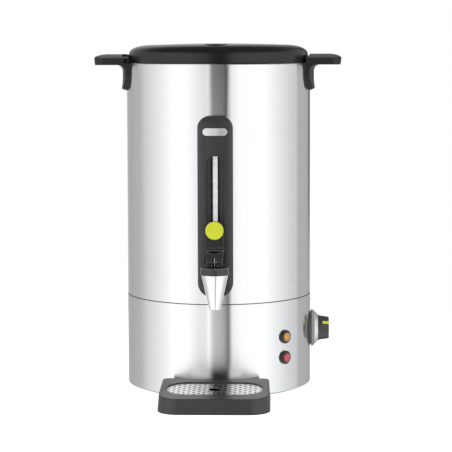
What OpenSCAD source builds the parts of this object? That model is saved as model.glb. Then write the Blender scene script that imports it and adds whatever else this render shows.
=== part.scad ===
// Hot water urn: single-walled steel tank on a steel skirt, lift-off lid, lever tap, gauge and drip tray.
// Millimetres, +Z up, origin on the tank's axis at the floor, tap towards -Y, knob towards +X.

/* [Tank and skirt] */
// Outer diameter of the tank
tank_d = 268; // [264:1:274]
// Thickness of the steel sheet
sheet = 0.8; // [0.6:0.1:1.0]
// Height of the tank's rim above the floor
tank_top = 468.8; // [460:0.2:478]
// Height of the seam between skirt and tank
seam_z = 131.6; // [130:0.2:132]
// How far the skirt stands out from the tank
skirt_proud = 0.4; // [0.2:0.1:0.6]
// Height of the rubber ring under the skirt
foot_h = 2; // [1.5:0.5:4]

/* [Lid] */
// Radius of the lid's side wall
lid_r = 131; // [129:0.5:132]
// Thickness of the lid's moulding
lid_wall = 2.6; // [2:0.1:3]
// Height of the lid above the tank's rim
lid_h = 28.6; // [27:0.1:33]
// Diameter of the steam vent in the lid's shoulder
vent_d = 37; // [30:1:40]

/* [Handles] */
// Distance from the axis to the tip of a handle
handle_reach = 178.8; // [174:0.2:184]
// Half the width of a handle along the tank
handle_half = 44; // [40:1:48]
// How far a handle's leg stands out from the tank
leg_t = 7.2; // [6.4:0.2:9]
// How far the legs reach down below the grips
leg_drop = 36.9; // [34:0.1:45]
// Thickness of a grip
grip_t = 15.8; // [14.6:0.1:18]

/* [Front panel] */
// Width of the front panel
panel_w = 49.4; // [48:0.2:54]
// Height of the panel's lower end above the seam
panel_up = 13.3; // [11:0.1:16]
// Height of the panel's upper end
panel_top = 396.2; // [385:0.2:402]
// How far the panel stands out from the tank
panel_proud = 13; // [12:0.5:14]
// Width of the recess around the gauge
channel_w = 25.3; // [23:0.5:27]
// Distance from the recess's upper end to the panel's
channel_drop = 54.3; // [50:0.1:60]

/* [Tap] */
// Distance from the panel's face to the nozzle's axis
tap_out = 23; // [21:0.5:26]
// Height of the tap's shank
shank_z = 167.5; // [166.5:0.1:168.5]
// Distance from the shank's axis down to the nozzle's outlet
nozzle_len = 36.1; // [34:0.1:40]
// Outer diameter of the nozzle at the outlet
nozzle_tip_d = 15.8; // [14.5:0.1:18]
// Outer diameter of the nozzle at the collar
nozzle_top_d = 35.9; // [33:0.1:37]
// Diameter of the collar
bonnet_d = 39.6; // [38:0.2:42]
// Width of the lever
lever_w = 26; // [24:0.1:27]
// Diameter of the lime button
button_d = 24.9; // [22:0.1:25.5]
// Height of the button's centre above the lever's pin
button_up = 42.9; // [40:0.1:46]

/* [Knob and lamps] */
// Height of the knob's axis
knob_z = 78.2; // [74:0.2:84]
// Diameter of the black dish behind the dial
dish_d = 55.3; // [51:0.1:58]
// Diameter of the knob's flange
knob_flange_d = 38; // [36:0.5:41]
// Length of the knob's grip
grip_len = 14.4; // [11:0.1:17]
// Angle of the lamps from the tap, around the tank
lamp_angle = 46; // [40:1:55]
// Height of the upper lamp
amber_z = 80.5; // [78:0.1:86]
// Height of the lower lamp
red_z = 50.7; // [48:0.1:56]
// Diameter of a lamp's bezel
bezel_d = 19.3; // [17:0.1:21]

/* [Drip tray] */
// Width of the tray at the floor
tray_w = 153; // [146:1:160]
// Distance from the tank's axis to the tray's front
tray_reach = 245; // [238:1:252]
// Height of the tray's front edge
tray_front_h = 21.2; // [20:0.2:23]
// Height of the tray's top against the skirt
tray_back_h = 26.7; // [25.5:0.1:29]
// Width of the grille
grille_w = 131; // [124:0.5:133]
// Diameter of the grille's small holes
grille_hole_d = 3.3; // [2.5:0.1:3.8]

/* [Hidden] */
$fn = 96;

BLACK = "#2b2c2e";
STEEL = "#c9ccd0";
LIME = "#cfdc1e";

tank_r = tank_d / 2;
tank_in = tank_r - sheet;
skirt_r = tank_r + skirt_proud;
seam_gap = 1.2;
bead_r = 1.8;

lip_r = tank_in - 0.2;
lip_top = seam_z + 6.8;
tank_floor = seam_z + 8.4;
flange_in = 118;
base_z = foot_h + sheet;

lid_z = tank_top + 0.2;
lid_peak = tank_top + lid_h;

leg_r = tank_r + leg_t;
grip_top = tank_top + 13.4;
grip_z = grip_top - grip_t;
leg_bottom = grip_z - leg_drop;
slot_z = [tank_top + 0.1, tank_top + 6.2];
rim_clearance = 3.6;
slot_r = lid_r + 10.4;

panel_face = tank_r + panel_proud;
panel_bottom = seam_z + panel_up;
channel_top = panel_top - channel_drop;
panel_wall = 1.6;
tube_y = panel_face - 8;
tube_d = 7;
seal_d = 8.4;
recess_deep = 1.6;
groove_w = 12.6;
groove_top = channel_top - 0.4;

tap_reach = panel_face + tap_out;
nozzle_tip = shank_z - nozzle_len;
shank_d = 20;
shank_clear = 0.2;
bonnet_z = shank_z + 12;
bonnet_h = 10;
seat_z = shank_z - 11;
seat_hole_d = 10;
chamber_d = 21;
stem_d = 4;
pin_z = bonnet_z + bonnet_h + 8;
pin_d = 3;
lift_per_rad = 6;
lever_swing = 40;
ledge_z = pin_z + 16.1;
button_z = pin_z + button_up;
lever_face = 4.6;
ledge_face = 8;

dish_x = skirt_r + 3.2;
dial_back_x = dish_x + 3;
dial_d = dish_d - 6.4;
dial_x = dial_back_x + 5.3;
flange_x = dial_x + 0.3;
grip_x = flange_x + 1.4;
knob_tip = grip_x + grip_len;
pointer_turn = 35;

tray_wall = 2.5;
tray_gap = 0.6;
tray_back_y = 124;
tray_slope = (tray_back_h - tray_front_h) / (tray_reach - tray_back_y);
grille_y = [tray_reach - 95, tray_reach - 27];
grille_r = 29;
grille_drop = 1.4;

// ---------- helpers ----------

// A column w wide from y0 to y1, with corners of radius r0 below and r1 above
module rounded(w, y0, y1, r0, r1) {
    translate([-w / 2, y0 + r0]) square([w, y1 - y0 - r0 - r1]);
    translate([-w / 2 + r0, y0]) square([w - 2 * r0, r0 + 0.01]);
    translate([-w / 2 + r1, y1 - r1 - 0.01]) square([w - 2 * r1, r1 + 0.01]);
    for (s = [-1, 1]) {
        translate([s * (w / 2 - r0), y0 + r0]) circle(r0, $fn = 64);
        translate([s * (w / 2 - r1), y1 - r1]) circle(r1, $fn = 64);
    }
}

// A rounded rectangle, w wide and h high, centred
module round_rect(w, h, r) {
    rounded(w, -h / 2, h / 2, r, r);
}

// Lays an X-Z outline upright, with its thickness running from y = -back to y = -front
module upright(back, front) {
    translate([0, -back, 0]) rotate([90, 0, 0]) linear_extrude(front - back) children();
}

// Turns a child built along +X to the given angle from the tap, around the tank
module around(from_tap) {
    rotate([0, 0, from_tap - 90]) children();
}

// A disc or bar along +X, from x0 to x1
module along_x(x0, x1, d, d2 = 0) {
    translate([x0, 0, 0]) rotate([0, 90, 0])
        cylinder(h = x1 - x0, d1 = d, d2 = d2 == 0 ? d : d2);
}

// A ring along +Z
module ring(h, d_out, d_in) {
    difference() {
        cylinder(h = h, d = d_out);
        translate([0, 0, -1]) cylinder(h = h + 2, d = d_in);
    }
}

// A hexagonal nut along +Z
module hex_nut(h, flats, bore) {
    difference() {
        cylinder(h = h, d = flats / cos(30), $fn = 6);
        translate([0, 0, -1]) cylinder(h = h + 2, d = bore);
    }
}

// ---------- tank and base ----------

module tank() {
    color(STEEL) difference() {
        rotate_extrude($fn = 180) {
            translate([tank_in, seam_z + seam_gap])
                square([sheet, tank_top - bead_r - seam_z - seam_gap]);
            translate([0, tank_floor - sheet]) square([tank_in + sheet / 2, sheet]);
            translate([tank_r - bead_r, tank_top - bead_r]) circle(bead_r, $fn = 32);
        }
        translate([0, 0, shank_z]) rotate([90, 0, 0]) cylinder(h = 200, d = shank_d + 0.6);
        translate([0, 0, elbow_z]) rotate([90, 0, 0]) cylinder(h = 200, d = elbow_stud_d + 0.4);
        panel_screw_places() translate([0, 0, -30]) cylinder(h = 60, d = 4.4);
        handle_screw_places() cylinder(h = 30, d = 5.4, center = true);
    }
}

module skirt() {
    color(STEEL) difference() {
        rotate_extrude($fn = 180) {
            translate([skirt_r - sheet, foot_h]) square([sheet, seam_z - foot_h]);
            translate([flange_in, foot_h]) square([skirt_r - flange_in, sheet]);
            translate([lip_r - sheet, seam_z - sheet]) square([skirt_r - lip_r + sheet, sheet]);
            translate([lip_r - sheet, seam_z - sheet]) square([sheet, lip_top - seam_z + sheet]);
        }
        translate([0, 0, knob_z]) along_x(100, 150, 9);
        for (z = [amber_z, red_z])
            around(lamp_angle) translate([0, 0, z]) along_x(100, 150, lamp_hole_d);
        around(180) translate([0, 0, gland_z]) along_x(100, 150, gland_d + 0.4);
    }
}

// A rubber seal in the groove between tank and skirt
module seam_seal() {
    color(BLACK) rotate_extrude($fn = 180)
        translate([lip_r, seam_z]) square([tank_r - lip_r - 0.15, seam_gap]);
}

module foot_ring() {
    ring_out = skirt_r - 4;
    color(BLACK) rotate_extrude($fn = 180) polygon([
        [flange_in + 2, 0], [ring_out - 0.8, 0], [ring_out, 0.8], [ring_out, foot_h],
        [flange_in + 2, foot_h]]);
}

module base_plate() {
    color(STEEL) difference() {
        union() {
            translate([0, 0, base_z]) cylinder(h = 1.2, r = skirt_r - sheet - 0.6);
            translate([0, 0, base_z + 1.2]) cylinder(h = 5, d = 34);
        }
        translate([0, 0, base_z - 1]) cylinder(h = 6.2, d = 28);
        translate([0, 0, base_z - 1]) cylinder(h = 20, d = rod_d + 0.4);
        translate([reset_at[0], reset_at[1], base_z - 1]) cylinder(h = 4, d = 8.6);
        for (a = [0:30:330]) rotate([0, 0, a]) translate([96, 0, base_z - 1])
            linear_extrude(4) round_rect(22, 4, 1.9);
    }
}

rod_d = 6;
module tie_rod() {
    color(STEEL) translate([0, 0, base_z - 2]) cylinder(h = plate_z - base_z + 4, d = rod_d);
}

module tie_nut() {
    color(STEEL) translate([0, 0, base_z + 0.2]) hex_nut(5, 10, rod_d);
}

// ---------- heating ----------

plate_h = 6;
plate_z = tank_floor - sheet - plate_h;
element_r = 72;
element_d = 8;
element_z = plate_z - element_d / 2;
element_open = 36;
element_pin = 26;

module heater_plate() {
    color("#b9bcbf") difference() {
        translate([0, 0, plate_z]) cylinder(h = plate_h, r = element_r + 16);
        translate([0, 0, plate_z - 1]) cylinder(h = 3, d = rod_d);
    }
}

module heating_element() {
    color("#8a8d8c") {
        rotate([0, 0, element_open / 2]) translate([0, 0, element_z])
            rotate_extrude(angle = 360 - element_open) translate([element_r, 0])
                circle(d = element_d, $fn = 32);
        for (s = [-1, 1]) rotate([0, 0, s * element_open / 2])
            translate([element_r, 0, element_z - element_pin]) cylinder(h = element_pin, d = 5);
        for (s = [-1, 1]) rotate([0, 0, s * element_open / 2])
            translate([element_r, 0, element_z]) sphere(d = element_d, $fn = 32);
    }
}

module element_clamps() {
    color(STEEL) for (a = [90, 180, 270]) rotate([0, 0, a])
        translate([element_r, 0, plate_z]) difference() {
            translate([-10, -4, -element_d - 1.6]) cube([20, 8, element_d + 1.6]);
            translate([0, 5, -element_d / 2]) rotate([90, 0, 0])
                cylinder(h = 10, d = element_d + 0.2);
            translate([-element_d / 2 - 0.1, -5, -element_d / 2])
                cube([element_d + 0.2, 10, element_d]);
        }
}

thermo_d = 34;
thermo_x = [94, 126];
spindle_d = 6;
bracket_w = 44;
module thermostat_body() {
    color("#d8d6cf") translate([0, 0, knob_z]) difference() {
        union() {
            along_x(thermo_x[0], thermo_x[1], thermo_d);
            along_x(thermo_x[1], skirt_r - sheet - 0.4, 8.6);
            translate([thermo_x[1] - 2, -bracket_w / 2, -8]) cube([2, bracket_w, 16]);
            // feet of the bracket, against the skirt's inside
            intersection() {
                for (y = [-bracket_w / 2, bracket_w / 2 - 6])
                    translate([thermo_x[1] - 2, y, -8]) cube([12, 6, 16]);
                translate([0, 0, -40]) cylinder(h = 80, r = skirt_r - sheet, $fn = 180);
            }
        }
        along_x(thermo_x[0] + 8, thermo_x[1] + 20, spindle_d + 0.1);
    }
}

module thermostat_spindle() {
    color(STEEL) translate([0, 0, knob_z]) {
        along_x(thermo_x[0] + 9, grip_x - 0.4, spindle_d);
        intersection() {
            along_x(grip_x - 1, knob_tip - 3, spindle_d);
            translate([grip_x - 1, -5, -5]) cube([20, 10, 6.5]);
        }
    }
}

bulb_at = [40, 20];
module capillary_tube() {
    color("#b87a4a") {
        translate([thermo_x[0] - 6, 0, knob_z + 8]) rotate([0, 90, 0]) cylinder(h = 6, d = 2);
        translate([thermo_x[0] - 6, 0, knob_z + 8]) sphere(d = 2, $fn = 24);
        translate([thermo_x[0] - 6, 0, knob_z + 8]) cylinder(h = plate_z - knob_z - 11, d = 2);
        translate([thermo_x[0] - 6, 0, plate_z - 3]) sphere(d = 2, $fn = 24);
        translate([bulb_at[0], 0, plate_z - 3]) rotate([0, 90, 0])
            cylinder(h = thermo_x[0] - 6 - bulb_at[0], d = 2);
        translate([bulb_at[0] - 30, 0, plate_z - 3]) rotate([0, 90, 0]) cylinder(h = 34, d = 6);
    }
}

reset_at = [-34, 26];
cutout_h = 16;
module thermal_cutout() {
    color("#3a3d44") translate([reset_at[0], reset_at[1], plate_z - cutout_h]) difference() {
        union() {
            cylinder(h = cutout_h, d = 22);
            translate([-14, -4, 4]) cube([28, 8, 2]);
        }
        translate([0, 0, -1]) cylinder(h = 9, d = 4.2);
    }
}

reset_travel = 2;
module reset_button() {
    color("#b03030") translate([reset_at[0], reset_at[1], 0]) {
        translate([0, 0, base_z - 1]) cylinder(h = 8, d = 8);
        translate([0, 0, base_z + 2]) cylinder(h = 2.5, d = 12);
        translate([0, 0, base_z + 4]) cylinder(h = plate_z - cutout_h - base_z - 1, d = 4);
    }
}

terminal_size = [44, 22, 18];
module terminal_block() {
    color("#e6e2d6") translate([-15, 62, base_z + 1.2]) difference() {
        cube(terminal_size);
        for (i = [0:2]) translate([8 + i * 14, -1, 9]) rotate([-90, 0, 0])
            cylinder(h = 24, d = 4, $fn = 24);
        for (i = [0:2], y = [6, 16]) translate([8 + i * 14, y, 9]) cylinder(h = 12, d = 5, $fn = 24);
    }
}

gland_z = 32;
gland_d = 16;
cord_d = 8;
module cable_gland() {
    color(BLACK) around(180) translate([0, 0, gland_z]) difference() {
        union() {
            along_x(skirt_r - 16, skirt_r + 1, gland_d);
            intersection() {
                along_x(skirt_r - 3, skirt_r + 5, 24);
                difference() {
                    along_x(100, 160, 30);
                    translate([0, 0, -40]) cylinder(h = 80, r = skirt_r);
                }
            }
            along_x(skirt_r + 5, skirt_r + 11, 20, 15);
        }
        along_x(100, 160, cord_d);
    }
}

module gland_nut() {
    color(BLACK) around(180) translate([skirt_r - sheet - 5.6, 0, gland_z])
        rotate([0, 90, 0]) hex_nut(5, 22, gland_d);
}

// ---------- lamps ----------

lamp_hole_d = 13;
lamp_len = 26;
lens_d = 11.8;
bezel_h = 4;
module lamp_bezels() {
    color(BLACK) for (z = [amber_z, red_z]) around(lamp_angle) translate([0, 0, z]) {
        difference() {
            union() {
                along_x(skirt_r - lamp_len, skirt_r + 1, lamp_hole_d - 0.4);
                intersection() {
                    union() {
                        along_x(skirt_r - 3, skirt_r + bezel_h - 1.6, bezel_d);
                        along_x(skirt_r + bezel_h - 1.6, skirt_r + bezel_h, bezel_d, bezel_d - 3.2);
                    }
                    difference() {
                        along_x(100, 160, 40);
                        translate([0, 0, -40]) cylinder(h = 80, r = skirt_r);
                    }
                }
            }
            along_x(skirt_r + 0.2, skirt_r + 8, lens_d);
            along_x(skirt_r - lamp_len + 2, skirt_r + 1, 9);
        }
    }
}

module lens(z) {
    around(lamp_angle) translate([0, 0, z]) {
        along_x(skirt_r + 0.2, skirt_r + bezel_h + 0.6, lens_d);
        along_x(skirt_r + bezel_h + 0.6, skirt_r + bezel_h + 2, lens_d, lens_d - 4);
    }
}

module amber_lens() {
    color("#d1942d") lens(amber_z);
}

module red_lens() {
    color("#c8464f") lens(red_z);
}

module lamp_clips() {
    color(STEEL) for (z = [amber_z, red_z]) around(lamp_angle)
        translate([skirt_r - sheet - 2.4, 0, z]) rotate([0, 90, 0])
            ring(1.2, 18, lamp_hole_d - 0.4);
}

// ---------- front panel and gauge ----------

module panel_outline(inset = 0) {
    rounded(panel_w - 2 * inset, panel_bottom + inset, panel_top - inset, 20 - inset, 17 - inset);
}

// The panel from above: a face concentric with the tank, with rounded long edges
module panel_plan(inset = 0) {
    edge_r = 6;
    x = panel_w / 2 - edge_r;
    y = sqrt(pow(panel_face - edge_r, 2) - x * x);
    intersection() {
        circle(r = panel_face - inset, $fn = 360);
        polygon([[0, 0], [-1.2 * x, -1.2 * y], [1.2 * x, -1.2 * y]]);
    }
    for (s = [-1, 1]) translate([s * x, -y]) circle(edge_r - inset, $fn = 64);
    translate([-panel_w / 2 + inset, -y]) square([panel_w - 2 * inset, y - 90]);
}

// The panel from the side, rounded over at its ends
module panel_side(inset = 0) {
    for (end = [[panel_bottom, 5, 1], [panel_top, 11, -1]])
        translate([-panel_face + end[1], end[0] + end[2] * end[1]])
            circle(end[1] - inset, $fn = 96);
    translate([-panel_face + inset, panel_bottom + 5])
        square([panel_proud, panel_top - panel_bottom - 16]);
    translate([-panel_face + 11, panel_bottom + inset])
        square([50, panel_top - panel_bottom - 2 * inset]);
    translate([-panel_face + 5, panel_bottom + inset]) square([10, 20]);
}

module panel_solid(inset = 0) {
    intersection() {
        translate([0, 0, panel_bottom]) linear_extrude(panel_top - panel_bottom)
            panel_plan(inset);
        upright(90, panel_face) panel_outline(inset);
        translate([-40, 0, 0]) rotate([90, 0, 90]) linear_extrude(80) panel_side(inset);
    }
}

module arched(w, z0, z1) {
    translate([-w / 2, z0]) square([w, z1 - z0 - w / 2]);
    translate([0, z1 - w / 2]) circle(d = w);
}

recess_w = lever_w + 3.8;
recess_z = pin_z - 5;
channel_deep = 3;
boss_d = 8;

// The space inside the panel, around the channel and the screws' and shank's bosses
module panel_hollow() {
    difference() {
        panel_solid(recess_deep + panel_wall);
        upright(panel_face - channel_deep - panel_wall, panel_face)
            arched(channel_w + 2 * panel_wall, button_z, channel_top + panel_wall);
        upright(tank_r - panel_proud, panel_face)
            arched(groove_w + 2 * panel_wall, button_z, groove_top + panel_wall);
        translate([0, 0, shank_z]) rotate([90, 0, 0]) cylinder(h = panel_face, d = shank_d + 12);
        panel_screw_places() cylinder(h = panel_proud, d = boss_d);
    }
}

module front_panel() {
    color(BLACK) difference() {
        panel_solid();
        translate([0, 0, panel_bottom - 1])
            cylinder(h = panel_top - panel_bottom + 2, r = tank_r, $fn = 180);
        panel_hollow();
        upright(panel_face - channel_deep, panel_face + 2)
            arched(channel_w, button_z, channel_top);
        upright(tank_r - panel_proud, panel_face + 2)
            arched(groove_w, button_z, groove_top);
        upright(panel_face - recess_deep, panel_face + 2)
            arched(recess_w, recess_z, button_z + recess_w / 2);
        translate([0, 0, shank_z]) rotate([90, 0, 0])
            cylinder(h = tank_r + 2.8, d = shank_d + 8);
        translate([0, 0, shank_z]) rotate([90, 0, 0]) cylinder(h = 200, d = shank_d + shank_clear);
        translate([0, -tube_y, elbow_z]) cylinder(h = tube_z[1] - elbow_z + 4, d = tube_d + 0.6);
        panel_screw_places() translate([0, 0, -10]) cylinder(h = 17, d = 3.4);
        badge_shape(0.6, 2);
    }
}

screw_z = panel_top - 21;
module panel_screw_places() {
    for (x = [-13, 13]) translate([x, -tank_r, screw_z]) rotate([90, 0, 0]) children();
}

module panel_screws() {
    color(STEEL) panel_screw_places() {
        translate([0, 0, -sheet - 3.4]) cylinder(h = 2.2, d = 8);
        translate([0, 0, -sheet - 2]) cylinder(h = 9, d = 3.4);
    }
}

badge_z = panel_top - 21.7;
badge_w = 34.2;
badge_h = 10.3;
badge_deep = 0.8;

// The badge's pill, grown all round, curved with the panel's face
module badge_shape(grow, proud) {
    w = badge_w + 2 * grow;
    h = badge_h + 2 * grow;
    difference() {
        intersection() {
            upright(panel_face - 8, panel_face + 4) translate([0, badge_z])
                round_rect(w, h, h / 2 - 0.01);
            translate([0, 0, badge_z - 20]) cylinder(h = 40, r = panel_face + proud, $fn = 360);
        }
        translate([0, 0, badge_z - 30])
            cylinder(h = 60, r = panel_face - badge_deep, $fn = 360);
    }
}

module badge_plate() {
    color("#f2f2f0") badge_shape(0, 0.4);
}

elbow_z = pin_z + 10.5;
tube_z = [elbow_z + 8, channel_top + 11];
elbow_stud_d = 8;
module sight_tube() {
    color("#e8f1f4") translate([0, -tube_y, tube_z[0]])
        ring(tube_z[1] - tube_z[0], tube_d, tube_d - 2.4);
}

strip_w = 6.2;
strip_rise = 18;
strip_z = [elbow_z + strip_rise, groove_top - 1.4];
module scale_strip() {
    color("#f4f4f2") upright(tank_r, tube_y - tube_d / 2)
        translate([-strip_w / 2, strip_z[0]]) square([strip_w, strip_z[1] - strip_z[0]]);
}

cap_h = 9;
module tube_cap() {
    color(BLACK) translate([0, -tube_y, tube_z[1] - 6]) difference() {
        cylinder(h = cap_h, d = tube_d + 2.4);
        translate([0, 0, -1]) cylinder(h = 7, d = tube_d);
        translate([0, 0, 4]) cylinder(h = 8, d = 1.6, $fn = 24);
    }
}

module tube_seal() {
    color("#b8bcc0") translate([0, -tube_y, tube_z[0] - 1]) difference() {
        cylinder(h = 4, d = seal_d);
        translate([0, 0, 1]) cylinder(h = 4, d = tube_d);
        translate([0, 0, -1]) cylinder(h = 4, d = 4);
    }
}

module gauge_elbow() {
    color("#c8a24a") difference() {
        union() {
            translate([-6, -panel_face + 3.4, elbow_z - 6]) cube([12, panel_proud - 3.4, 16]);
            translate([0, -tank_r - 2, elbow_z]) rotate([-90, 0, 0])
                cylinder(h = 13, d = elbow_stud_d);
        }
        translate([0, -tube_y, elbow_z]) cylinder(h = 8, d = 4);
        translate([0, -tube_y, tube_z[0] - 1]) cylinder(h = 8, d = seal_d);
        translate([0, -tube_y, elbow_z]) rotate([-90, 0, 0]) cylinder(h = 30, d = 4);
    }
}

module gauge_nut() {
    color("#c8a24a") translate([0, -tank_in + 0.25, elbow_z]) rotate([-90, 0, 0])
        hex_nut(5, 13, elbow_stud_d);
}

// ---------- tap ----------

module at_tap() {
    translate([0, -tap_reach, 0]) children();
}

module tap_body() {
    color("#dfe2e5") difference() {
        union() {
            at_tap() translate([0, 0, nozzle_tip])
                cylinder(h = bonnet_z - 3 - nozzle_tip, d1 = nozzle_tip_d, d2 = nozzle_top_d);
            at_tap() translate([0, 0, bonnet_z - 3]) cylinder(h = 3, d = nozzle_top_d);
            translate([0, -tap_reach, shank_z]) rotate([-90, 0, 0])
                cylinder(h = tap_reach - panel_face, d = shank_d + 3);
            translate([0, -tap_reach, shank_z]) rotate([-90, 0, 0])
                cylinder(h = tap_reach - tank_r + 22, d = shank_d);
        }
        at_tap() translate([0, 0, nozzle_tip - 1])
            cylinder(h = seat_z - nozzle_tip + 2, d = seat_hole_d);
        at_tap() translate([0, 0, seat_z]) cylinder(h = 40, d = chamber_d);
        translate([0, -tap_reach, shank_z]) rotate([-90, 0, 0]) cylinder(h = 90, d = 12);
    }
}

module tap_bonnet() {
    chamfer = 0.9;
    color(BLACK) at_tap() difference() {
        union() {
            translate([0, 0, bonnet_z])
                cylinder(h = bonnet_h - chamfer, d1 = bonnet_d, d2 = bonnet_d - 1.2);
            translate([0, 0, bonnet_z + bonnet_h - chamfer])
                cylinder(h = chamfer, d1 = bonnet_d - 1.2, d2 = bonnet_d - 1.2 - 2 * chamfer);
            translate([0, 0, bonnet_z - 2]) cylinder(h = 2.5, d = chamber_d - 0.2);
        }
        translate([0, 0, bonnet_z - 4]) cylinder(h = 30, d = stem_d + 0.1);
        translate([0, 0, bonnet_z - 4]) cylinder(h = 8, d = 13);
    }
}

module valve_stem() {
    color(STEEL) at_tap() difference() {
        union() {
            translate([0, 0, seat_z + 3]) cylinder(h = pin_z + 5 - seat_z - 3, d = stem_d);
            translate([0, 0, seat_z + 3]) cylinder(h = 1.4, d = 9);
        }
        translate([-5, 0, pin_z]) rotate([0, 90, 0]) cylinder(h = 10, d = pin_d + 0.1);
    }
}

module seat_cup() {
    color("#d9d4cc") at_tap() difference() {
        translate([0, 0, seat_z + 0.02]) union() {
            cylinder(h = 2, d1 = 13, d2 = 16);
            translate([0, 0, 2]) cylinder(h = 5.6, d = 16);
        }
        translate([0, 0, seat_z + 3]) cylinder(h = 1.4, d = 9);
        translate([0, 0, seat_z + 4]) cylinder(h = 8, d = stem_d);
    }
}

// Closing spring: a wire of six sides swept along its helix
spring_z = [seat_z + 7.7, bonnet_z + 3.9];
spring_turns = 5;
spring_wire = 1.1;
spring_r = 5.2;
module tap_spring() {
    steps = spring_turns * 14;
    low = spring_z[0] + spring_wire / 2;
    rise = spring_z[1] - spring_z[0] - spring_wire;
    points = [for (i = [0:steps], k = [0:5])
        let (a = i * 360 / 14, b = k * 60, r = spring_r + spring_wire / 2 * cos(b))
        [r * cos(a), r * sin(a), low + rise * i / steps + spring_wire / 2 * sin(b)]];
    sides = [for (i = [0:steps - 1], k = [0:5])
        [i * 6 + k, i * 6 + (k + 1) % 6, i * 6 + 6 + (k + 1) % 6, i * 6 + 6 + k]];
    ends = [[5, 4, 3, 2, 1, 0], [for (k = [0:5]) steps * 6 + k]];
    color(STEEL) at_tap() polyhedron(points, concat(sides, ends));
}

// The lever's side outline, in Y (forward) and Z from its cross pin. The foot's front is an involute,
// so that it lifts the pin in proportion to the tilt.
function foot_point(a) =
    let (h = pin_z - bonnet_z - bonnet_h - 0.1 + lift_per_rad * a * PI / 180)
    [-(-lift_per_rad * cos(a) - h * sin(a)), lift_per_rad * sin(a) - h * cos(a)];

module lever_side() {
    cam = [for (a = [0:5:lever_swing]) foot_point(a)];
    ledge = ledge_z - pin_z;
    head = button_z - pin_z;
    polygon(concat([[-7, cam[0][1]]], cam, [[ledge_face, 0], [ledge_face, ledge],
        [lever_face, ledge + 3], [lever_face, head + lever_w / 2 + 0.5],
        [-1, head + lever_w / 2 + 0.5], [-3, 20], [-7, 6]]));
}

module lever_front() {
    neck = [lever_w / 2 - 0.9, lever_w / 2 - 2.8];
    foot = pin_z - 9;
    translate([0, button_z]) circle(d = lever_w);
    translate([-lever_w / 2, ledge_z - 0.6]) square([lever_w, button_z - ledge_z + 0.6]);
    polygon([[-neck[0], ledge_z], [-neck[1], foot], [neck[1], foot], [neck[0], ledge_z]]);
}

module tap_lever() {
    scoop_r = 25.6;
    scoop_z = ledge_z - 0.8;
    blank_w = 40;
    blank_reach = 30;
    color(BLACK) difference() {
        intersection() {
            translate([-blank_w / 2, -tap_reach, pin_z]) rotate([90, 0, 90]) linear_extrude(blank_w)
                mirror([1, 0]) lever_side();
            upright(tap_reach - blank_reach, tap_reach + blank_reach) lever_front();
        }
        // slot for the stem, open to the front and below
        translate([-3, -tap_reach - 30, pin_z - 20]) cube([6, 34, 20 + 4]);
        translate([0, -tap_reach + 4, pin_z + 4]) rotate([90, 0, 0]) cylinder(h = 34, d = 6);
        translate([-3, -tap_reach, pin_z]) rotate([0, 90, 0]) cylinder(h = 6, r = 6.2);
        translate([-15, -tap_reach, pin_z]) rotate([0, 90, 0]) cylinder(h = 30, d = pin_d);
        upright(tap_reach + lever_face - 1.6, tap_reach + 30)
            translate([0, button_z]) circle(d = button_d);
        // scoop under the ledge
        intersection() {
            translate([0, -tap_reach - ledge_face, scoop_z - 4.5]) rotate([-42, 0, 0])
                translate([0, -scoop_r, -15]) cylinder(h = 30, r = scoop_r);
            translate([-20, -tap_reach - 30, scoop_z - 20]) cube([40, 60, 20]);
        }
    }
}

module lever_pin() {
    color(STEEL) translate([-lever_w / 2 + 2.8, -tap_reach, pin_z]) rotate([0, 90, 0])
        cylinder(h = lever_w - 5.6, d = pin_d);
}

module lever_button() {
    color(LIME) {
        upright(tap_reach + lever_face - 1.6, tap_reach + lever_face + 0.4)
            translate([0, button_z]) circle(d = button_d - 0.1);
        translate([0, -tap_reach - lever_face - 0.4, button_z]) rotate([90, 0, 0])
            cylinder(h = 0.6, d1 = button_d - 0.1, d2 = button_d - 1.7);
    }
}

module shank_gasket() {
    color("#8f3b34") translate([0, -tank_r, shank_z]) rotate([90, 0, 0])
        ring(2.8, shank_d + 7, shank_d);
}

module shank_washer() {
    color(STEEL) translate([0, -tank_in + 2.75, shank_z]) rotate([90, 0, 0])
        ring(1.8, 31, shank_d);
}

module shank_nut() {
    color(STEEL) translate([0, -tank_in + 8.75, shank_z]) rotate([90, 0, 0])
        hex_nut(6, 27, shank_d);
}

// ---------- handles ----------

// The handle's outline seen along X: straight sides, round lower end
module leg_outline() {
    rounded(2 * handle_half, leg_bottom, grip_top + 10, 24, 1);
}

// The handle's outline from above, with rounded outer corners
module grip_outline() {
    rotate([0, 0, -90]) rounded(2 * handle_half, 108, handle_reach, 1, 15);
}

// The handle seen from the front: level top that bends down to the tip
module grip_side() {
    polygon([[110, leg_bottom - 5], [handle_reach - 1.6, leg_bottom - 5],
        [handle_reach - 1.6, grip_z], [handle_reach, grip_top - 7],
        [handle_reach - 0.4, grip_top - 5], [handle_reach - 4, grip_top - 2.6],
        [handle_reach - 9, grip_top - 0.9], [handle_reach - 15, grip_top], [110, grip_top]]);
}

// The handle's section: a leg that flares a little at its lower end, a fillet and a grip
module handle_section() {
    fillet = 9;
    waist = leg_r - 1.4;
    polygon([[tank_r, leg_bottom - 1], [leg_r - 0.2, leg_bottom + 2.4], [leg_r, leg_bottom + 3.4],
        [waist + 0.3, leg_bottom + 11], [waist, leg_bottom + 17], [waist, grip_z + 10],
        [tank_r, grip_z + 10]]);
    difference() {
        translate([tank_r, grip_z - fillet]) square([60, fillet + 30]);
        translate([waist + fillet, grip_z - fillet - 1]) square([60, fillet + 1]);
        translate([waist + fillet, grip_z - fillet]) circle(fillet, $fn = 64);
    }
}

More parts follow.
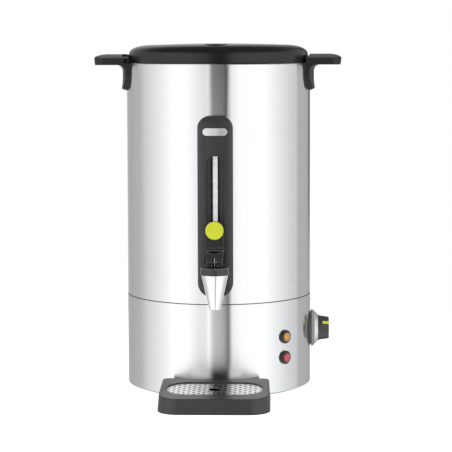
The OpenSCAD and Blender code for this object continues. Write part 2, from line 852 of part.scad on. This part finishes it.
// A handle on the +X side. Its bayonet slot is closed towards -Y.
module handle() {
    crown_r = 167;
    difference() {
        intersection() {
            rotate([0, 0, -30]) rotate_extrude(angle = 60, $fn = 180) handle_section();
            translate([0, 0, leg_bottom - 5]) linear_extrude(80) grip_outline();
            translate([100, 0, 0]) rotate([90, 0, 90]) linear_extrude(90) leg_outline();
            translate([90, 0, grip_top - crown_r]) rotate([0, 90, 0])
                cylinder(h = 120, r = crown_r, $fn = 360);
            translate([0, 60, 0]) rotate([90, 0, 0]) linear_extrude(120) grip_side();
        }
        // clearance around the lid's rim
        translate([0, 0, tank_top]) cylinder(h = 40, r = lid_r + rim_clearance, $fn = 180);
        // bayonet slot
        translate([0, 0, slot_z[0]]) intersection() {
            cylinder(h = slot_z[1] - slot_z[0], r = slot_r, $fn = 180);
            translate([100, -handle_half + 20, -1]) cube([60, 100, 20]);
        }
        // notch where the lid's lug drops in, open above
        translate([0, 0, slot_z[0]]) intersection() {
            cylinder(h = 40, r = slot_r, $fn = 180);
            translate([100, notch_y[0], -1]) cube([60, notch_y[1] - notch_y[0], 60]);
        }
        handle_screw_places() translate([0, 0, -6]) cylinder(h = 9.6, d = 5);
    }
}

notch_y = [8, 36];
screw_y = 14;
handle_screw_z = grip_z - 18.2;
module handle_screw_places() {
    for (side = [0, 180], y = [-1, 1]) rotate([0, 0, side])
        translate([tank_r, y * screw_y, handle_screw_z]) rotate([0, 90, 0]) children();
}

module handle_screws() {
    color(STEEL) handle_screw_places() {
        translate([0, 0, -4.9]) cylinder(h = 2.6, d = 9);
        translate([0, 0, -2.5]) cylinder(h = 6, d = 5);
    }
}

module handle_right() {
    color(BLACK) handle();
}

module handle_left() {
    color(BLACK) rotate([0, 0, 180]) handle();
}

// ---------- lid ----------

lug_angle = 9.8;
lid_shoulder = [35, 15.4];
lid_dome = 2.1;

// The lid's profile from its wall over its shoulder to the axis, moved inwards by t
function lid_curve(t) = concat(
    [for (a = [0:7.5:90]) [lid_r - t - (lid_shoulder[0] - t) * (1 - pow(cos(a), 0.83)),
        lid_peak - lid_dome - t - (lid_shoulder[1] - t) * (1 - pow(sin(a), 0.83))]],
    [for (k = [4:-1:0]) let (r = (lid_r - lid_shoulder[0]) * k / 5)
        [r, lid_peak - t - lid_dome * k * k / 25]]);

module lid_solid(t) {
    rotate_extrude($fn = 180) polygon(concat([[0, lid_z - 1], [lid_r - t, lid_z - 1]],
        lid_curve(t)));
}

module lid_shell() {
    t = lid_wall;
    color(BLACK) difference() {
        union() {
            difference() {
                lid_solid(0);
                lid_solid(t);
                translate([0, 0, lid_z - 2]) cylinder(h = 2, r = lid_r + 1);
            }
            // plug ring that centres the lid in the tank
            rotate_extrude($fn = 180) {
                translate([plug_r - t, lid_z - 12]) square([t, 12 + 3]);
                translate([plug_r - t, lid_z]) square([lid_r - plug_r + t - 1, 3]);
            }
            // bayonet lugs, standing in the handles' notches
            for (side = [90, -90]) around(side + lug_angle)
                translate([lid_r + 2.3, 0, slot_z[0] + 0.5]) linear_extrude(5)
                    round_rect(12.4, 20, 3);
        }
        translate([0, -vent_y, lid_z + 8]) cylinder(h = 30, d = vent_d);
    }
}

plug_r = tank_r - 2 * bead_r - 1.2;
vent_y = 101;

// A cup in the lid's shoulder with a slotted floor, flush with the lid's outer face
module lid_vent() {
    cup_wall = 1.6;
    floor_z = lid_peak - 12;
    color(BLACK) intersection() {
        translate([0, -vent_y, floor_z]) difference() {
            cylinder(h = 20, d = vent_d - 0.1);
            translate([0, 0, 1.8]) cylinder(h = 20, d = vent_d - 0.1 - 2 * cup_wall);
            for (x = [-12:4:12]) translate([x, 0, -1]) linear_extrude(4)
                round_rect(2, 2 * (13 - abs(x) / 3), 0.95);
        }
        lid_solid(0);
    }
}

// ---------- knob ----------

module knob_dish() {
    color(BLACK) translate([0, 0, knob_z]) difference() {
        union() {
            along_x(skirt_r - 6, skirt_r - 3, 36);
            along_x(skirt_r - 3, dish_x - 0.8, 36, dish_d);
            along_x(dish_x - 0.8, dish_x, dish_d, dish_d - 0.6);
            along_x(dish_x, dial_back_x, dish_d - 0.6, dial_d + 0.4);
        }
        translate([0, 0, -60]) cylinder(h = 120, r = skirt_r, $fn = 180);
        along_x(100, 160, 9);
    }
}

module dial_ring() {
    color("#cfd2d5") translate([0, 0, knob_z]) difference() {
        along_x(dial_back_x, dial_x, dial_d, knob_flange_d + 0.6);
        along_x(dial_back_x - 1, dial_x + 1, 9);
        // tick marks every 30 degrees
        for (a = [-135:30:135]) rotate([a, 0, 0])
            translate([dial_x - 3.2, -0.4, knob_flange_d / 2 + 1.2]) cube([2, 0.8, 5]);
    }
}

module knob_grip() {
    color(BLACK) translate([0, 0, knob_z]) difference() {
        union() {
            along_x(flange_x, grip_x, knob_flange_d);
            along_x(grip_x, knob_tip, 36.4, 32.2);
        }
        intersection() {
            along_x(flange_x - 1, knob_tip - 3, spindle_d + 0.04);
            union() {
                translate([grip_x - 1, -5, -5]) cube([20, 10, 6.52]);
                translate([flange_x - 1, -5, -5]) cube([grip_x - flange_x + 0.6, 10, 10]);
            }
        }
        pointer_bar();
    }
}

// The pointer's bar, over the grip's edge and half its end face
module pointer_bar() {
    rotate([90 - pointer_turn, 0, 0]) {
        translate([grip_x + 4.9, -2.15, 13]) cube([grip_len, 4.3, 6]);
    }
}

module knob_pointer() {
    color(LIME) translate([0, 0, knob_z]) intersection() {
        pointer_bar();
        along_x(grip_x, knob_tip, 37, 32.8);
    }
}

// ---------- drip tray ----------

module tray_outline(w, inset = 0) {
    front_r = 29;
    back_r = 11;
    hull() for (s = [-1, 1]) {
        translate([s * (w / 2 - front_r), -tray_reach + front_r])
            circle(front_r - inset, $fn = 64);
        translate([s * (w / 2 - back_r), -tray_back_y - back_r])
            circle(back_r - inset, $fn = 48);
    }
}

// The space below the tray's sloping top, lowered by drop
module under_slope(drop) {
    front = tray_front_h - drop;
    translate([-100, 0, 0]) rotate([90, 0, 90]) linear_extrude(200) polygon([
        [-tray_reach - 5, -1], [-tray_reach - 5, front - 5 * tray_slope],
        [-80, front + (tray_reach - 80) * tray_slope], [-80, -1]]);
}

module grille_outline(inset) {
    translate([0, -(grille_y[0] + grille_y[1]) / 2])
        round_rect(grille_w - 2 * inset, grille_y[1] - grille_y[0] - 2 * inset, grille_r - inset);
}

module drip_tray() {
    color(BLACK) difference() {
        intersection() {
            hull() {
                linear_extrude(1) tray_outline(tray_w);
                translate([0, 0, tray_back_h]) linear_extrude(1) tray_outline(tray_w, 2.2);
            }
            under_slope(0);
        }
        translate([0, 0, -1]) cylinder(h = 60, r = skirt_r + tray_gap, $fn = 180);
        // well
        translate([0, 0, tray_wall + 1.5]) linear_extrude(40) grille_outline(3);
        // seat of the grille
        difference() {
            linear_extrude(40) grille_outline(0);
            under_slope(grille_drop + 1);
        }
        // hollow underside, around the well
        intersection() {
            translate([0, 0, -1]) linear_extrude(60) difference() {
                tray_outline(tray_w, tray_wall + 1.6);
                grille_outline(0.5);
                circle(r = skirt_r + tray_gap + tray_wall, $fn = 180);
            }
            under_slope(tray_wall + 0.5);
        }
    }
}

module drip_grille() {
    pitch_x = 7;
    pitch_y = 11;
    drain_d = 17;
    blank_h = 40;
    middle = (grille_y[0] + grille_y[1]) / 2;
    color(STEEL) intersection() {
        difference() {
            linear_extrude(blank_h) difference() {
                grille_outline(0.4);
                translate([0, -middle]) circle(d = drain_d);
                // staggered columns of holes, left out around the drain
                for (i = [-8:8], j = abs(i) == 8 ? [-1.5:1.5] : i % 2 == 0 ? [-2.5:2.5] : [-2:2])
                    if (norm([i * pitch_x, j * pitch_y]) > drain_d / 2 + 3.4)
                        translate([i * pitch_x, j * pitch_y - middle])
                            circle(d = grille_hole_d, $fn = 16);
            }
            under_slope(grille_drop + 1);
        }
        under_slope(grille_drop);
    }
}

tank();
skirt();
seam_seal();
foot_ring();
base_plate();
tie_rod();
tie_nut();
heater_plate();
heating_element();
element_clamps();
thermostat_body();
thermostat_spindle();
capillary_tube();
thermal_cutout();
reset_button();
terminal_block();
cable_gland();
gland_nut();
lamp_bezels();
amber_lens();
red_lens();
lamp_clips();
front_panel();
panel_screws();
badge_plate();
sight_tube();
scale_strip();
tube_cap();
tube_seal();
gauge_elbow();
gauge_nut();
tap_body();
tap_bonnet();
valve_stem();
seat_cup();
tap_spring();
tap_lever();
lever_pin();
lever_button();
shank_gasket();
shank_washer();
shank_nut();
handle_left();
handle_right();
handle_screws();
lid_shell();
lid_vent();
knob_dish();
dial_ring();
knob_grip();
knob_pointer();
drip_tray();
drip_grille();
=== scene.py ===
"""Looks of the hot water urn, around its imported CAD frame. Metres, +Z up, tap towards -Y, knob towards +X."""
import math

import bpy
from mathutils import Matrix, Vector

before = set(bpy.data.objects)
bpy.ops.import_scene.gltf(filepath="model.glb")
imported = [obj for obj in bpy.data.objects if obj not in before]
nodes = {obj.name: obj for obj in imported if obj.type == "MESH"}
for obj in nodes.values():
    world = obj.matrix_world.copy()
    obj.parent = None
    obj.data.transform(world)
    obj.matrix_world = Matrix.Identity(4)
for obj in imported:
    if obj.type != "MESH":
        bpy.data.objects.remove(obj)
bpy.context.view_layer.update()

# ---------- real sizes, as in the part's source ----------
TANK_R = 0.134
STRIP_Z = (0.226, 0.341)
TICK_PITCH = 0.0145
PATCH_HALF = 0.011
PATCH_Z = (0.20, 0.36)
GRILLE_MIDDLE = 0.184
HOLE_PITCH = (0.007, 0.011)
HOLE_R = 0.00165
DRAIN_R = 0.0085

# ---------- finish: brush marks per metre along and across, the steel's colour, and the blacks of painted shade for the gauge slot and the grille's holes ---
FINE_LINES = (22.0, 2600.0)
BROAD_BANDS = (5.0, 260.0)
STEEL = (0.80, 0.805, 0.815)
STEEL_ROUGH = 0.17
# painted shade: black, not metal, on the tank's steel where it shows through the gauge slot
SLOT_SHADE_BLACK = (0.012, 0.012, 0.012)
# painted shade: the dark rims of the grille's punched holes
HOLE_SHADE_BLACK = (0.05, 0.05, 0.05)

# ---------- camera: 2.4 m away, at the lid's height, a little to the knob's side ----------
FRAME_PX = 452
CAM_DISTANCE = 2.414
CAM_HEIGHT = 0.4789
CAM_AZIMUTH = 2.0
FOCAL_PX = 1644.5
SHIFT_Y = -0.10
HORIZON_ABOVE_CENTRE = 169.92
AXIS_LEFT_OF_CENTRE = 7.66
ROLL = 0.164

cam_data = bpy.data.cameras.new("camera")
cam = bpy.data.objects.new("camera", cam_data)
bpy.context.scene.collection.objects.link(cam)
cam_data.sensor_width = 36
cam_data.lens = FOCAL_PX / FRAME_PX * 36
cam_data.shift_y = SHIFT_Y
cam_data.clip_start = 0.05
cam_data.clip_end = 60
az = math.radians(CAM_AZIMUTH)
cam.location = (CAM_DISTANCE * math.sin(az), -CAM_DISTANCE * math.cos(az), CAM_HEIGHT)
pitch = math.atan((HORIZON_ABOVE_CENTRE + SHIFT_Y * FRAME_PX) / FOCAL_PX)
yaw = az - math.atan(AXIS_LEFT_OF_CENTRE / FOCAL_PX)
cam.rotation_mode = "XYZ"
cam.rotation_euler = (math.radians(90) - pitch, math.radians(ROLL), yaw)
bpy.context.scene.camera = cam


# ---------- node helpers ----------
class Net:
    """A node tree being built. add() makes a node and sets or links its inputs: i0, i1 and so on
    are inputs by their number, and a double underscore in a name stands for a space."""

    def __init__(self, tree):
        self.tree = tree
        tree.nodes.clear()

    def add(self, kind, _props=None, **inputs):
        node = self.tree.nodes.new(kind)
        for key, value in (_props or {}).items():
            setattr(node, key, value)
        for key, value in inputs.items():
            name = key.replace("__", " ")
            by_index = name[0] == "i" and name[1:].isdigit()
            socket = node.inputs[int(name[1:]) if by_index else name]
            if isinstance(value, bpy.types.NodeSocket):
                self.tree.links.new(value, socket)
            else:
                socket.default_value = value
        return node

    def math(self, op, a, b=0.0):
        return self.add("ShaderNodeMath", {"operation": op}, i0=a, i1=b).outputs[0]

    def length(self, a, b):
        return self.math("SQRT", self.math("ADD", self.math("MULTIPLY", a, a), self.math("MULTIPLY", b, b)))

    def ramp(self, fac, stops):
        """Grey levels over fac, with straight lines between the stops (position, level)."""
        node = self.add("ShaderNodeValToRGB", Fac=fac)
        while len(node.color_ramp.elements) < len(stops):
            node.color_ramp.elements.new(1.0)
        for element, (at, value) in zip(node.color_ramp.elements, stops):
            element.position = at
            element.color = (value, value, value, 1)
        return node.outputs["Color"]

    def span(self, value, low, high, to_low, to_high):
        return self.add("ShaderNodeMapRange", Value=value, From__Min=low, From__Max=high,
                        To__Min=to_low, To__Max=to_high).outputs["Result"]

    def noise(self, vector, scale, detail=4.0, rough=0.55):
        return self.add("ShaderNodeTexNoise", Vector=vector, Scale=scale, Detail=detail,
                        Roughness=rough).outputs["Fac"]

    def mix(self, fac, a, b, blend="MIX"):
        node = self.add("ShaderNodeMix", {"data_type": "RGBA", "blend_type": blend})
        for socket, value in ((node.inputs[0], fac), (node.inputs[6], a), (node.inputs[7], b)):
            if isinstance(value, bpy.types.NodeSocket):
                self.tree.links.new(value, socket)
            else:
                socket.default_value = value if socket is node.inputs[0] else (*value, 1)
        return node.outputs[2]


def material(name):
    mat = bpy.data.materials.new(name)
    mat.use_nodes = True
    net = Net(mat.node_tree)
    place = net.add("ShaderNodeTexCoord").outputs["Object"]
    shader = net.add("ShaderNodeBsdfPrincipled")
    out = net.add("ShaderNodeOutputMaterial")
    mat.node_tree.links.new(shader.outputs[0], out.inputs[0])
    return mat, net, place, shader


def put(net, shader, **inputs):
    for key, value in inputs.items():
        socket = shader.inputs[key.replace("__", " ")]
        if isinstance(value, bpy.types.NodeSocket):
            net.tree.links.new(value, socket)
        else:
            socket.default_value = value


def bumped(net, height, strength, distance, radius=0.0):
    """A bump over the surface's normal, with edges rounded to the given radius."""
    inputs = {"Height": height, "Strength": strength, "Distance": distance}
    if radius:
        inputs["Normal"] = net.add("ShaderNodeBevel", {"samples": 4}, Radius=radius).outputs[0]
    return net.add("ShaderNodeBump", **inputs).outputs[0]


def painted_slot_shade(net, x, y, z):
    """1 on the strip of the tank's outer face that shows through the panel's gauge slot, where the steel is
    painted black as shade.
    """
    inside = net.math("LESS_THAN", net.math("ABSOLUTE", x), PATCH_HALF)
    for test in (net.math("LESS_THAN", y, 0.0), net.math("GREATER_THAN", z, PATCH_Z[0]),
                 net.math("LESS_THAN", z, PATCH_Z[1]),
                 net.math("GREATER_THAN", net.length(x, y), TANK_R - 0.0002)):
        inside = net.math("MULTIPLY", inside, test)
    return inside


def brushed_steel(name, colour, rough, around_axis=True, aniso=0.95, shade_holes=False, slot_shade=False):
    """Sheet steel with brush lines that run around the tank, or along X on a flat piece."""
    mat, net, place, shader = material(name)
    xyz = net.add("ShaderNodeSeparateXYZ", Vector=place).outputs
    if around_axis:
        turn = net.math("ARCTAN2", xyz[0], net.math("MULTIPLY", xyz[1], -1.0))
        along = net.math("MULTIPLY", turn, TANK_R)
        across = xyz[2]
        tangent = net.add("ShaderNodeTangent", {"direction_type": "RADIAL", "axis": "Z"})
    else:
        along, across = xyz[0], xyz[1]
        tangent = net.add("ShaderNodeTangent", {"direction_type": "RADIAL", "axis": "Y"})
    fine = net.add("ShaderNodeCombineXYZ", X=net.math("MULTIPLY", along, FINE_LINES[0]),
                   Y=net.math("MULTIPLY", across, FINE_LINES[1])).outputs[0]
    broad = net.add("ShaderNodeCombineXYZ", X=net.math("MULTIPLY", along, BROAD_BANDS[0]),
                    Y=net.math("MULTIPLY", across, BROAD_BANDS[1])).outputs[0]
    lines = net.noise(fine, 1.0, 3.0)
    bands = net.noise(broad, 1.0, 2.0)
    tint = net.mix(net.span(lines, 0.3, 0.7, 0.0, 1.0), tuple(c * 0.93 for c in colour),
                   tuple(min(1.0, c * 1.04) for c in colour))
    tint = net.mix(net.span(bands, 0.35, 0.65, 0.0, 0.5), tint, tuple(c * 0.97 for c in colour))
    # painted shade: dark rims round the grille's holes, coloured into the steel
    if shade_holes:
        tint = net.mix(painted_hole_shade(net, xyz[0], xyz[1]), tint, HOLE_SHADE_BLACK)
    bare = 1.0
    # painted shade: the steel behind the gauge slot is coloured black and made non-metallic
    if slot_shade:
        slot_shade_mask = painted_slot_shade(net, xyz[0], xyz[1], xyz[2])
        tint = net.mix(slot_shade_mask, tint, SLOT_SHADE_BLACK)
        bare = net.math("SUBTRACT", 1.0, slot_shade_mask)
    put(net, shader, Base__Color=tint, Metallic=bare, Anisotropic=aniso, Anisotropic__Rotation=0.25,
        Roughness=net.span(lines, 0.25, 0.75, rough - 0.03, rough + 0.04),
        Tangent=tangent.outputs[0], Normal=bumped(net, lines, 0.10, 0.00002))
    return mat


def painted_hole_shade(net, x, y):
    """1 on the painted shade round each punched hole of the grille, a dark rim: staggered columns, none at the
    drain.
    """
    y = net.math("ADD", y, GRILLE_MIDDLE)
    column = net.math("ROUND", net.math("DIVIDE", x, HOLE_PITCH[0]))
    aside = net.math("SUBTRACT", x, net.math("MULTIPLY", column, HOLE_PITCH[0]))
    odd = net.math("MODULO", net.math("ABSOLUTE", column), 2.0)
    row = net.math("ADD", net.math("DIVIDE", y, HOLE_PITCH[1]), net.math("MULTIPLY", odd, 0.5))
    along = net.math("MULTIPLY", net.math("SUBTRACT", net.math("FRACT", row), 0.5), HOLE_PITCH[1])
    rim = net.span(net.length(aside, along), HOLE_R * 1.3, HOLE_R * 1.15, 0.0, 0.9)
    return net.math("MULTIPLY", rim, net.math("GREATER_THAN", net.length(x, y), DRAIN_R * 1.5))


def metal(name, colour, rough, grain=900.0, bump=0.05):
    """Machined or plated metal: fine turning marks and cloudy roughness."""
    mat, net, place, shader = material(name)
    cloud = net.noise(place, 60.0)
    marks = net.noise(place, grain, 2.0)
    put(net, shader, Metallic=1.0,
        Base__Color=net.mix(net.span(cloud, 0.35, 0.65, 0.0, 1.0), tuple(c * 0.95 for c in colour), colour),
        Roughness=net.span(cloud, 0.3, 0.7, rough * 0.8, rough * 1.25),
        Normal=bumped(net, marks, bump, 0.00003, 0.0003))
    return mat


def plastic(name, colour, rough, grain=1400.0, bump=0.12, radius=0.0006, coat=0.0, subsurface=0.0,
            gloss=0.5, edge=None):
    """Moulded plastic: spark-eroded grain, cloudy gloss and slightly paler convex edges. With edge,
    the edges are painted in that colour as a highlight, as wide as the radius."""
    mat, net, place, shader = material(name)
    spark = net.noise(place, grain, 2.0)
    cloud = net.noise(place, 35.0, 3.0)
    point = net.add("ShaderNodeNewGeometry").outputs["Pointiness"]
    paler_convex = net.span(point, 0.52, 0.60, 0.0, 0.35)
    shade = net.mix(net.span(cloud, 0.3, 0.7, 0.0, 1.0), tuple(c * 0.92 for c in colour),
                    tuple(min(1.0, c * 1.06) for c in colour))
    shade = net.mix(paler_convex, shade, tuple(min(1.0, c * 1.5 + 0.01) for c in colour))
    # painted highlight: edges coloured light where the bevelled normal turns away from the flat one
    if edge:
        rounded = net.add("ShaderNodeBevel", {"samples": 4}, Radius=radius).outputs[0]
        flat = net.add("ShaderNodeNewGeometry").outputs["Normal"]
        same = net.add("ShaderNodeVectorMath", {"operation": "DOT_PRODUCT"},
                       i0=rounded, i1=flat).outputs["Value"]
        shade = net.mix(net.span(same, 0.995, 0.90, 0.0, 1.0), shade, edge)
    put(net, shader, Base__Color=shade, Coat__Weight=coat, Coat__Roughness=0.12, Specular__IOR__Level=gloss,
        Subsurface__Weight=subsurface, Subsurface__Scale=0.002,
        Roughness=net.span(cloud, 0.3, 0.7, rough * 0.9, rough * 1.12),
        Normal=bumped(net, spark, bump, 0.00004, radius))
    return mat


def dress(mat, *names):
    """Gives CAD nodes a material by their slots."""
    for name in names:
        obj = nodes[name]
        if not obj.material_slots:
            obj.data.materials.append(mat)
        for slot in obj.material_slots:
            slot.material = mat


# ---------- materials ----------
steel_tank = brushed_steel("steel_tank", STEEL, STEEL_ROUGH, slot_shade=True)
steel_skirt = brushed_steel("steel_skirt", STEEL, STEEL_ROUGH)
steel_grille = brushed_steel("steel_grille", (0.96, 0.96, 0.96), 0.26, around_axis=False, aniso=0.5,
                             shade_holes=True)
steel_small = metal("steel_small", (0.72, 0.73, 0.75), 0.26)
chrome = metal("chrome", (0.90, 0.905, 0.915), 0.07, bump=0.01)
aluminium = metal("aluminium", (0.75, 0.76, 0.78), 0.42, grain=300.0, bump=0.3)
brass = metal("brass", (0.72, 0.55, 0.25), 0.25)
copper = metal("copper", (0.70, 0.42, 0.26), 0.25)
silver = metal("silver_plastic", (0.86, 0.865, 0.87), 0.34, grain=2000.0)
silver_plate = metal("silver_plate", (0.98, 0.98, 0.98), 0.34, grain=2400.0, bump=0.02)
black = plastic("black_plastic", (0.024, 0.0245, 0.025), 0.34)
black_satin = plastic("black_satin", (0.012, 0.0125, 0.013), 0.36, gloss=0.26)
# the lever's and the collar's edges carry a painted highlight
black_lever = plastic("black_lever", (0.012, 0.0125, 0.013), 0.36, gloss=0.32, edge=(0.34, 0.34, 0.34))
black_collar = plastic("black_collar", (0.030, 0.0305, 0.031), 0.34, edge=(0.40, 0.40, 0.40))
black_lid = plastic("black_lid", (0.008, 0.0085, 0.009), 0.24, bump=0.04, gloss=0.4)
black_tray = plastic("black_tray", (0.028, 0.0285, 0.029), 0.34, radius=0.003)
black_knob = plastic("black_knob", (0.050, 0.0505, 0.051), 0.22, bump=0.05)
# painted light: the knob's black dish is coloured grey to stand for the light it catches from the steel skirt
dish_painted_light = plastic("dish_painted_light", (0.26, 0.26, 0.261), 0.34, bump=0.05)
rubber = plastic("rubber", (0.030, 0.030, 0.030), 0.75, grain=700.0, bump=0.3)
silicone = plastic("silicone", (0.62, 0.55, 0.50), 0.6, subsurface=0.2)
cream = plastic("cream_plastic", (0.80, 0.78, 0.72), 0.5)
lime = plastic("lime_plastic", (0.60, 0.655, 0.018), 0.22, bump=0.02, coat=0.4)
amber = plastic("amber_plastic", (0.62, 0.29, 0.03), 0.15, bump=0.01, coat=0.6, subsurface=0.3)
red = plastic("red_plastic", (0.56, 0.06, 0.07), 0.15, bump=0.01, coat=0.6, subsurface=0.3)

glass, net, place, shader = material("glass")
put(net, shader, Base__Color=(0.97, 0.985, 0.985, 1), Transmission__Weight=1.0, IOR=1.06,
    Coat__Weight=1.0, Coat__Roughness=0.04,
    Roughness=net.span(net.noise(place, 200.0), 0.3, 0.7, 0.01, 0.05))
# thin-walled and clear: light passes it whole, and a look through it bends only a little
CLEAR_SHARE = 0.86
rays = net.add("ShaderNodeLightPath").outputs
clear = net.add("ShaderNodeBsdfTransparent", Color=(0.985, 0.99, 0.99, 1)).outputs[0]
lit = net.math("MAXIMUM", rays["Is Shadow Ray"], rays["Is Diffuse Ray"])
clear_share = net.math("MAXIMUM", lit, CLEAR_SHARE)
both = net.add("ShaderNodeMixShader", Fac=clear_share, i1=shader.outputs[0], i2=clear).outputs[0]
net.tree.links.new(both, next(n for n in net.tree.nodes if n.type == "OUTPUT_MATERIAL").inputs[0])

scale, net, place, shader = material("scale_print")
z = net.add("ShaderNodeSeparateXYZ", Vector=place).outputs[2]
TICK_SHARE = 0.12
# painted light: the printed strip glows, though it is no lamp, so that it looks lit behind the glass
STRIP_PAINTED_LIGHT = 0.40
step = net.math("FRACT", net.math("MULTIPLY", net.math("SUBTRACT", z, STRIP_Z[0]), 1 / TICK_PITCH))
tick = net.math("LESS_THAN", net.math("ABSOLUTE", net.math("SUBTRACT", step, 0.5)), TICK_SHARE / 2)
speck = net.noise(place, 900.0)
print_colour = net.mix(tick, (0.88, 0.88, 0.88), (1.0, 1.0, 1.0))
# the print glows in its own colour: painted light
put(net, shader, Base__Color=print_colour, Emission__Color=print_colour, Emission__Strength=STRIP_PAINTED_LIGHT,
    Roughness=net.span(speck, 0.3, 0.7, 0.35, 0.5), Normal=bumped(net, speck, 0.05, 0.00003))

dress(steel_tank, "tank")
dress(steel_skirt, "skirt", "base_plate")
dress(steel_grille, "drip_grille")
dress(steel_small, "tie_rod", "tie_nut", "heating_element", "element_clamps", "thermostat_spindle",
      "lamp_clips", "panel_screws", "valve_stem", "tap_spring", "lever_pin", "shank_washer",
      "shank_nut", "handle_screws")
dress(chrome, "tap_body")
dress(aluminium, "heater_plate")
dress(brass, "gauge_elbow", "gauge_nut")
dress(copper, "capillary_tube")
dress(silver, "dial_ring")
dress(black, "thermal_cutout", "cable_gland", "gland_nut", "lamp_bezels", "front_panel", "tube_cap")
dress(black_collar, "tap_bonnet")
dress(black_tray, "drip_tray")
dress(dish_painted_light, "knob_dish")
dress(black_knob, "knob_grip")
dress(black_lever, "tap_lever")
dress(black_satin, "handle_left", "handle_right")
dress(black_lid, "lid_shell", "lid_vent")
dress(rubber, "foot_ring", "seam_seal")
dress(silicone, "tube_seal", "seat_cup", "shank_gasket")
dress(silver_plate, "badge_plate")
dress(cream, "thermostat_body", "terminal_block")
dress(lime, "lever_button", "knob_pointer")
dress(amber, "amber_lens")
dress(red, "red_lens", "reset_button")
dress(glass, "sight_tube")
dress(scale, "scale_strip")

# ---------- floor ----------
FLOOR_HALF = 6
NEAR, FAR = 0.3, 0.8  # from the axis: paper with a shadow up to NEAR, plain white from FAR on
NEAR_GLOW = 0.62
mesh = bpy.data.meshes.new("floor")
mesh.from_pydata([(x * FLOOR_HALF, y * FLOOR_HALF, 0) for x, y in ((-1, -1), (1, -1), (1, 1), (-1, 1))],
                 [], [(0, 1, 2, 3)])
floor = bpy.data.objects.new("floor", mesh)
bpy.context.scene.collection.objects.link(floor)
floor_mat = bpy.data.materials.new("floor_paper")
floor_mat.use_nodes = True
net = Net(floor_mat.node_tree)
rays = net.add("ShaderNodeLightPath").outputs
spot = net.add("ShaderNodeTexCoord").outputs["Object"]
away = net.add("ShaderNodeVectorMath", {"operation": "LENGTH"}, i0=spot).outputs["Value"]
seen = rays["Is Camera Ray"]
paper = net.add("ShaderNodeBsdfDiffuse", Color=(0.82, 0.82, 0.82, 1)).outputs[0]
glow = net.add("ShaderNodeEmission", Color=(1, 1, 1, 1),
               Strength=net.math("MULTIPLY", seen, NEAR_GLOW)).outputs[0]
near = net.add("ShaderNodeAddShader", i0=paper, i1=glow).outputs[0]
white_far = net.add("ShaderNodeEmission", Color=(1, 1, 1, 1), Strength=1.0).outputs[0]
far = net.math("MULTIPLY", seen, net.span(away, NEAR, FAR, 0.0, 1.0))
both = net.add("ShaderNodeMixShader", Fac=far, i1=near, i2=white_far).outputs[0]
net.add("ShaderNodeOutputMaterial", Surface=both)
mesh.materials.append(floor_mat)
floor.visible_glossy = False

# ---------- studio: white surroundings, brightness set by direction around the object ----------
world = bpy.data.worlds.new("studio")
world.use_nodes = True
bpy.context.scene.world = world
net = Net(world.node_tree)
direction = net.add("ShaderNodeTexCoord").outputs["Generated"]
xyz = net.add("ShaderNodeSeparateXYZ", Vector=direction).outputs
bearing = net.math("ARCTAN2", xyz[0], net.math("MULTIPLY", xyz[1], -1.0))
turn = net.math("SUBTRACT", bearing, az)
turn = net.span(turn, -math.pi, math.pi, 0.0, 1.0)


def at(degrees):
    return 0.5 + degrees / 360


# brightness of the surroundings by bearing from the camera's side, in degrees
SIDES = [(at(-175), 0.80), (at(-164), 0.50), (at(-146), 0.47), (at(-115), 0.58), (at(-104), 0.78),
         (at(-77), 1.06), (at(-60), 1.30), (at(-38), 1.28), (at(-25), 1.06)]
OTHER_SIDE = [(at(26), 1.28), (at(60), 1.30), (at(77), 1.08), (at(104), 0.80), (at(115), 0.74),
              (at(117.5), 0.54), (at(143), 0.50), (at(151), 0.46)]
EDGE_HIGH = [(at(158), 0.12), (at(166), 0.10), (at(174), 0.50)]
EDGE_LOW = [(at(158), 0.42), (at(166), 0.40), (at(174), 0.50)]
LOW_FROM, LOW_TO = -0.09, -0.12
OVERHEAD_FROM, OVERHEAD_TO = 0.46, 0.66
OVERHEAD = (0.10, 0.10, 0.10)
DIFFUSE_SKY = (0.85, 0.85, 0.85)
WHITE = (1.0, 1.0, 1.0)
studio = net.ramp(turn, SIDES + [
    (at(-15), 0.86), (at(-12.4), 0.98), (at(-9.0), 0.02), (at(11.3), 0.0), (at(13.2), 1.0)]
    + OTHER_SIDE + EDGE_HIGH)
# what the skirt reflects, below the horizon: a strip that darkens from the left to a sharp right edge
apron = net.ramp(turn, SIDES + [
    (at(-16), 1.16), (at(-13), 1.56), (at(-11), 1.44), (at(-8), 1.12), (at(-4), 0.96), (at(1), 0.90),
    (at(6), 0.76), (at(9), 0.50), (at(13.4), 0.06), (at(15.2), 1.12)]
    + OTHER_SIDE + EDGE_LOW)
rays = net.add("ShaderNodeLightPath").outputs
studio = net.mix(net.span(xyz[2], LOW_FROM, LOW_TO, 0.0, 1.0), studio, apron)
studio = net.mix(net.span(xyz[2], OVERHEAD_FROM, OVERHEAD_TO, 0.0, 1.0), studio, OVERHEAD)
studio = net.mix(rays["Is Diffuse Ray"], studio, DIFFUSE_SKY)
colour = net.mix(rays["Is Camera Ray"], studio, WHITE)
colour = net.mix(rays["Is Transmission Ray"], colour, WHITE)
back = net.add("ShaderNodeBackground", Color=colour, Strength=1.0).outputs[0]
net.add("ShaderNodeOutputWorld", Surface=back)

AIM = Vector((0, 0, 0.25))


def softbox(name, azimuth, height, distance, size, power):
    """An area lamp that points at the object's middle and shows in no reflection."""
    data = bpy.data.lights.new(name, "AREA")
    data.shape = "RECTANGLE"
    data.size, data.size_y = size
    data.energy = power
    lamp = bpy.data.objects.new(name, data)
    bpy.context.scene.collection.objects.link(lamp)
    a = math.radians(azimuth)
    lamp.location = (distance * math.sin(a), -distance * math.cos(a), height)
    aim = AIM - lamp.location
    lamp.rotation_euler = aim.to_track_quat("-Z", "Y").to_euler()
    lamp.visible_glossy = False


softbox("key_left", -50, 1.1, 1.8, (0.9, 1.3), 6)
softbox("key_right", 50, 1.1, 1.8, (0.9, 1.3), 5)
softbox("top", 0, 2.2, 0.3, (1.6, 1.6), 10)

bpy.context.scene.view_settings.view_transform = "Standard"
